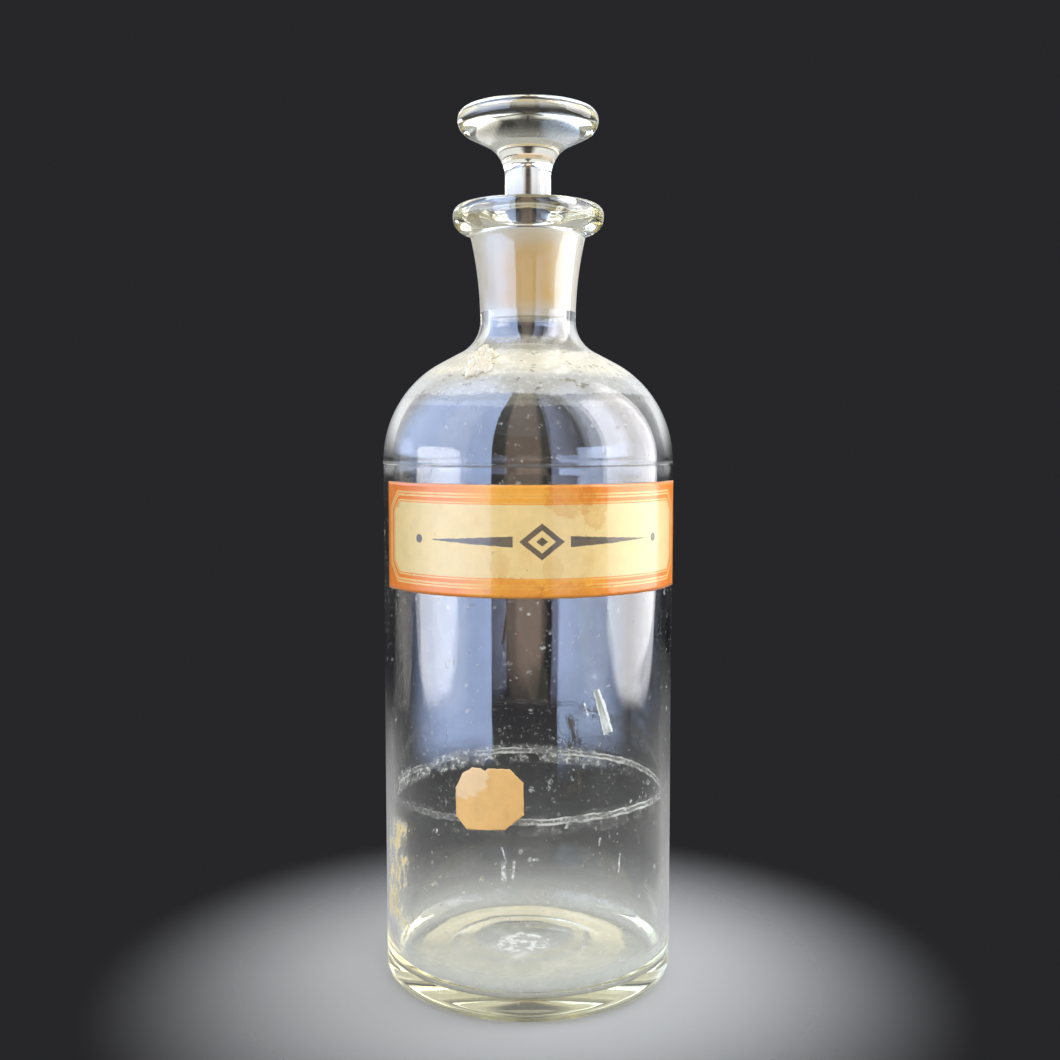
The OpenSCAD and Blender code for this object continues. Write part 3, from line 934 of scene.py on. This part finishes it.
# wax that ran down the shoulder in folds: each lump's place seen from above, its radius and its height
waxLook = {
    "lumps": [(-13.2, -15.2, 1.5, 0.9), (-13.6, -17.7, 2.0, 1.3), (-15.4, -19.6, 1.9, 1.2),
              (-11.7, -20.6, 1.9, 1.4), (-10.9, -23.3, 2.1, 1.5), (-13.2, -22.6, 1.8, 1.0),
              (-15.9, -23.2, 2.0, 1.3), (-13.2, -26.2, 2.3, 1.4), (-17.0, -27.2, 2.0, 1.6),
              (-14.6, -28.8, 2.2, 1.6), (-11.6, -29.2, 1.8, 1.3), (-16.4, -28.9, 1.8, 1.3)],
    "middle": (-13.5, -23.6), "farthest": 12.0, "gap": 0.04, "edge": 0.06, "rings": 40, "spokes": 144,
    "color": (0.76, 0.69, 0.53, 1), "second": (0.95, 0.93, 0.87, 1), "dirt": (0.60, 0.50, 0.31, 1),
    "rough": (0.2, 0.42), "bump": 0.25, "bumpDeep": 0.0003,
    "milky": 0.25, "milkyRadius": (0.003, 0.0022, 0.0012), "milkyScale": 0.4,
}


# how high the true outside of the shoulder stands at a distance from the axis
def shoulderHeight(r):
    b = bottleShape
    arcX = b["radius"] - size["shoulderR"]
    slope = math.radians(b["coneSlope"])
    coneFoot = arcX + size["shoulderR"] * math.cos(slope)
    if r > coneFoot:
        return b["wallTop"] + math.sqrt(max(0.0, size["shoulderR"] ** 2 - (r - arcX) ** 2))
    if r > size["neckR"] + b["footRound"] * (1 - math.cos(slope)):
        return b["wallTop"] + size["shoulderR"] * math.sin(slope) + (coneFoot - r) / math.tan(slope)
    inward = size["neckR"] + b["footRound"] - r
    return size["neckZ"] - math.sqrt(max(0.0, b["footRound"] ** 2 - inward ** 2))


# which way the shoulder faces there: outward and up
def shoulderLean(r):
    rise = shoulderHeight(r - 0.05) - shoulderHeight(r + 0.05)
    return Vector((rise, 0.1)).normalized()


# how thick the wax is at a place seen from above
def waxHeight(look, spot):
    place = Vector((spot.x * 0.7, spot.y * 0.7, 3.0))
    folded = spot + Vector((noise.noise(place), noise.noise(place + Vector((0, 0, 10))))) * 0.9
    thick = 0.0
    for x, y, wide, tall in look["lumps"]:
        near = 1 - ((folded.x - x) ** 2 + (folded.y - y) ** 2) / wide ** 2
        if near > 0:
            thick = max(thick, tall * math.sqrt(near))
    return thick * (1 + 0.35 * noise.noise(Vector((spot.x * 1.6, spot.y * 1.6, 8.0))))


# how far the wax goes from its middle, one way
def waxReach(look, middle, way):
    reach = look["farthest"]
    while reach > 0.5 and waxHeight(look, middle + way * reach) <= 0:
        reach -= 0.1
    return reach


def makeWax(look):
    bm = bmesh.new()
    middle = Vector(look["middle"])
    turns = [2 * math.pi * j / look["spokes"] for j in range(look["spokes"])]
    spokes = [Vector((math.sin(turn), -math.cos(turn))) for turn in turns]
    spokes = [way * waxReach(look, middle, way) for way in spokes]
    rings = {"top": [], "bottom": []}
    for level in rings:
        for i in range(look["rings"] + 1):
            ring = []
            for spoke in spokes if i else spokes[:1]:
                spot = middle + spoke * i / look["rings"]
                lean = shoulderLean(spot.length)
                rise = look["gap"]
                if level == "top":
                    rise += max(look["edge"], waxHeight(look, spot))
                flat = spot + spot.normalized() * rise * lean.x
                ring.append(bm.verts.new(Vector((*flat, shoulderHeight(spot.length) + rise * lean.y)) * mm))
            rings[level].append(ring)
        for a, b in zip(rings[level], rings[level][1:]):
            bridgeRings(bm, a, b)
    bridgeRings(bm, rings["top"][-1], rings["bottom"][-1])
    return finishMesh("waxDrip", bm)


def makeWaxMaterial(look):
    material, shader = startMaterial("waxDrip")
    cloud = patchMask(380.0, 0.58, 0.2, 2.0)
    tone = mixColor(cloud, look["color"], look["second"])
    dirt = product(patchMask(600.0, 0.3, 0.2, 7.0), 0.45)
    fillInputs(shader, {
        "Base Color": mixColor(dirt, tone, look["dirt"]), "Roughness": fromTo(*look["rough"], cloud),
        "Subsurface Weight": look["milky"], "Subsurface Radius": look["milkyRadius"],
        "Subsurface Scale": look["milkyScale"], "Normal": bumpOf(cloud, look["bump"], look["bumpDeep"]),
    })
    return material


settle(makeWax(waxLook), [makeWaxMaterial(waxLook)], "bottle", "wax_drip")
print("wax dripped")

# the pale floor fades into the dark backdrop round the bottle; distances in metres
stageLook = {
    "floor": (0.48, 0.485, 0.50, 1), "floorRough": 0.9, "floorGloss": 0.1, "floorReach": 2.4,
    "fadeFrom": 0.03, "fadeTo": 0.14,
    "backdrop": (0.02, 0.02, 0.023, 1), "ceiling": (0.17, 0.165, 0.16, 1), "ambient": (0.52, 0.53, 0.55, 1),
    "ceilingFrom": (0.55, 0.95), "floorFrom": (0.16, 0.36),
}

# windows that glass sees, with soft sides and arched feet: turns from the front and heights, in degrees
pane = {"farSoft": 6.0, "nearSoft": 1.2, "lowSoft": 1.4, "top": 80.0, "topSoft": 12.0, "arch": 0.0}
backPane = dict(pane, nearSoft=10.0, low=-3.0, lowSoft=16.0, top=88.0, color=(0.85, 0.87, 0.92, 1))
paneLook = [
    dict(pane, far=-112.0, near=-27.8, farSoft=50.0, nearSoft=1.0, low=-14.9, color=(3.2, 4.15, 6.7, 1)),
    dict(pane, far=-136.0, near=-60.0, farSoft=30.0, nearSoft=50.0, low=0.0, lowSoft=5.0,
         color=(2.7, 3.4, 5.2, 1)),
    dict(pane, far=-81.0, near=-47.5, farSoft=1.6, low=-12.9, top=58.0, arch=5.0, color=(0.85, 0.76, 0.6, 1)),
    dict(pane, far=-19.5, near=13.0, farSoft=5.0, nearSoft=5.0, low=-11.8, lowSoft=2.0, top=84.0, arch=4.0,
         color=(1.15, 0.85, 0.68, 1)),
    dict(pane, far=51.0, near=18.2, farSoft=31.0, nearSoft=1.0, low=-11.4, top=78.0,
         color=(1.5, 1.7, 2.65, 1)),
    dict(pane, far=122.0, near=63.0, farSoft=2.5, low=-12.4, top=60.0, arch=6.0, color=(4.9, 4.8, 5.0, 1)),
    dict(pane, far=96.0, near=48.0, farSoft=16.0, nearSoft=5.0, low=3.0, top=78.0, color=(3.2, 3.5, 4.4, 1)),
    dict(backPane, far=-178.0, near=-118.0), dict(backPane, far=178.0, near=112.0),
]


def makeFloor(look):
    bm = bmesh.new()
    bmesh.ops.create_circle(bm, cap_ends=True, segments=96, radius=look["floorReach"])
    floor = finishMesh("floor", bm)
    floor.location.z = -0.0002
    material, shader = startMaterial("floorPaper")
    x, y, _ = axesOf(objectPlace())
    shown = invert(ease(lengthOf(x, y), look["fadeFrom"], look["fadeTo"]))
    fillInputs(shader, {"Base Color": look["floor"], "Roughness": look["floorRough"],
                        "Specular IOR Level": look["floorGloss"], "Alpha": shown})
    floor.data.materials.append(material)


# how far a direction lies inside a window, whose lower end is rounded
def paneMask(look, turn, rise):
    far, near = look["far"], look["near"]
    side = math.copysign(1.0, near - far)
    fromFar = product(minus(turn, far), side)
    fromNear = product(minus(near, turn), side)
    aside = calc("DIVIDE", minus(turn, (far + near) / 2), (near - far) / 2)
    low = scaled(calc("POWER", calc("ABSOLUTE", aside), 4.0), look["arch"], look["low"])
    return product(ease(fromFar, 0.0, look["farSoft"]), ease(fromNear, 0.0, look["nearSoft"]),
                   ease(minus(rise, low), 0.0, look["lowSoft"]),
                   ease(minus(look["top"], rise), 0.0, look["topSoft"]))


# a plain dark backdrop; glass also sees the floor, a paler ceiling and the windows
def makeWorld(look, panes):
    world = bpy.data.worlds.new("studio")
    bpy.context.scene.world = world
    world.use_nodes = True
    canvas["tree"] = world.node_tree
    rays = addNode("LightPath").outputs
    x, y, z = axesOf(addNode("TexCoord").outputs["Generated"])
    room = mixColor(ease(z, *look["ceilingFrom"]), look["backdrop"], look["ceiling"])
    room = mixColor(ease(product(z, -1.0), *look["floorFrom"]), room, look["floor"])
    turn = calc("DEGREES", calc("ARCTAN2", x, product(y, -1.0)))
    rise = calc("DEGREES", calc("ARCSINE", z))
    for pane in panes:
        room = mixColor(paneMask(pane, turn, rise), room, pane["color"], "ADD")
    # looking straight through both walls shows the plain backdrop
    walls = calc("GREATER_THAN", rays["Transmission Depth"], 2.5)
    straight = product(rays["Is Transmission Ray"], walls, calc("LESS_THAN", rays["Glossy Depth"], 0.5))
    seen = mixColor(largest(rays["Is Camera Ray"], straight), room, look["backdrop"])
    looked = largest(rays["Is Camera Ray"], rays["Is Glossy Ray"], rays["Is Transmission Ray"])
    fillInputs(world.node_tree.nodes["Background"].inputs, {"Color": mixColor(looked, look["ambient"], seen)})


# lamps light the papers, the deposits and the floor; glass shows only the mirrored one
windowLook = [
    {"name": "windowLeft", "turn": -72.0, "away": 0.31, "low": 0.015, "wide": 0.20, "tall": 0.62,
     "glow": 0.9, "color": (0.88, 0.92, 1.0), "mirrored": False},
    {"name": "windowRight", "turn": 97.0, "away": 0.31, "low": 0.02, "wide": 0.22, "tall": 0.62,
     "glow": 2.95, "color": (0.88, 0.92, 1.0), "mirrored": False},
]
overheadLook = [
    {"name": "frontFill", "place": (0.1, -0.75, 1.0), "wide": 0.8, "tall": 0.8,
     "glow": 3.55, "color": (1.0, 0.985, 0.96), "mirrored": False},
    {"name": "topLamp", "place": (0.0, 0.28, 1.0), "wide": 0.55, "tall": 0.22,
     "glow": 3.0, "color": (1.0, 0.97, 0.9), "mirrored": True},
]


def makeLamp(look, place, turn):
    lamp = bpy.data.lights.new(look["name"], "AREA")
    lamp.shape = "RECTANGLE"
    lamp.size, lamp.size_y = look["wide"], look["tall"]
    lamp.energy = look["glow"] * math.pi * look["wide"] * look["tall"]
    lamp.color = look["color"]
    holder = bpy.data.objects.new(look["name"], lamp)
    holder.location = place
    holder.rotation_euler = turn
    holder.visible_camera = False
    holder.visible_glossy = look["mirrored"]
    holder.visible_transmission = False
    bpy.context.scene.collection.objects.link(holder)


def makeWindow(look):
    turn = math.radians(look["turn"])
    place = (look["away"] * math.sin(turn), -look["away"] * math.cos(turn), look["low"] + look["tall"] / 2)
    makeLamp(look, place, (math.pi / 2, 0, turn))


def makeOverhead(look):
    aim = Vector((0, 0, 0.14)) - Vector(look["place"])
    makeLamp(look, look["place"], aim.to_track_quat("-Z", "Y").to_euler())


# the photograph's view: focal length and frame in pixels, places in metres
cameraLook = {"focal": 1307.0, "frame": 1060.0, "back": 0.409, "height": 0.1707, "pitch": 4.28, "left": 2.0}


def makeCamera(look):
    lens = bpy.data.cameras.new("camera")
    lens.sensor_width = 36.0
    lens.sensor_fit = "HORIZONTAL"
    lens.lens = lens.sensor_width * look["focal"] / look["frame"]
    lens.shift_x = look["left"] / look["frame"]
    lens.clip_start = 0.01
    holder = bpy.data.objects.new("camera", lens)
    holder.location = (0, -look["back"], look["height"])
    holder.rotation_euler = (math.radians(90 - look["pitch"]), 0, 0)
    bpy.context.scene.collection.objects.link(holder)
    bpy.context.scene.camera = holder


makeFloor(stageLook)
makeWorld(stageLook, paneLook)
for look in windowLook:
    makeWindow(look)
for look in overheadLook:
    makeOverhead(look)
makeCamera(cameraLook)
scene = bpy.context.scene
scene.view_settings.view_transform = "Standard"
scene.cycles.caustics_reflective = False
scene.cycles.caustics_refractive = False
scene.cycles.max_bounces = 24
scene.cycles.transmission_bounces = 24
scene.cycles.glossy_bounces = 24
scene.cycles.transparent_max_bounces = 32
print("stage set")
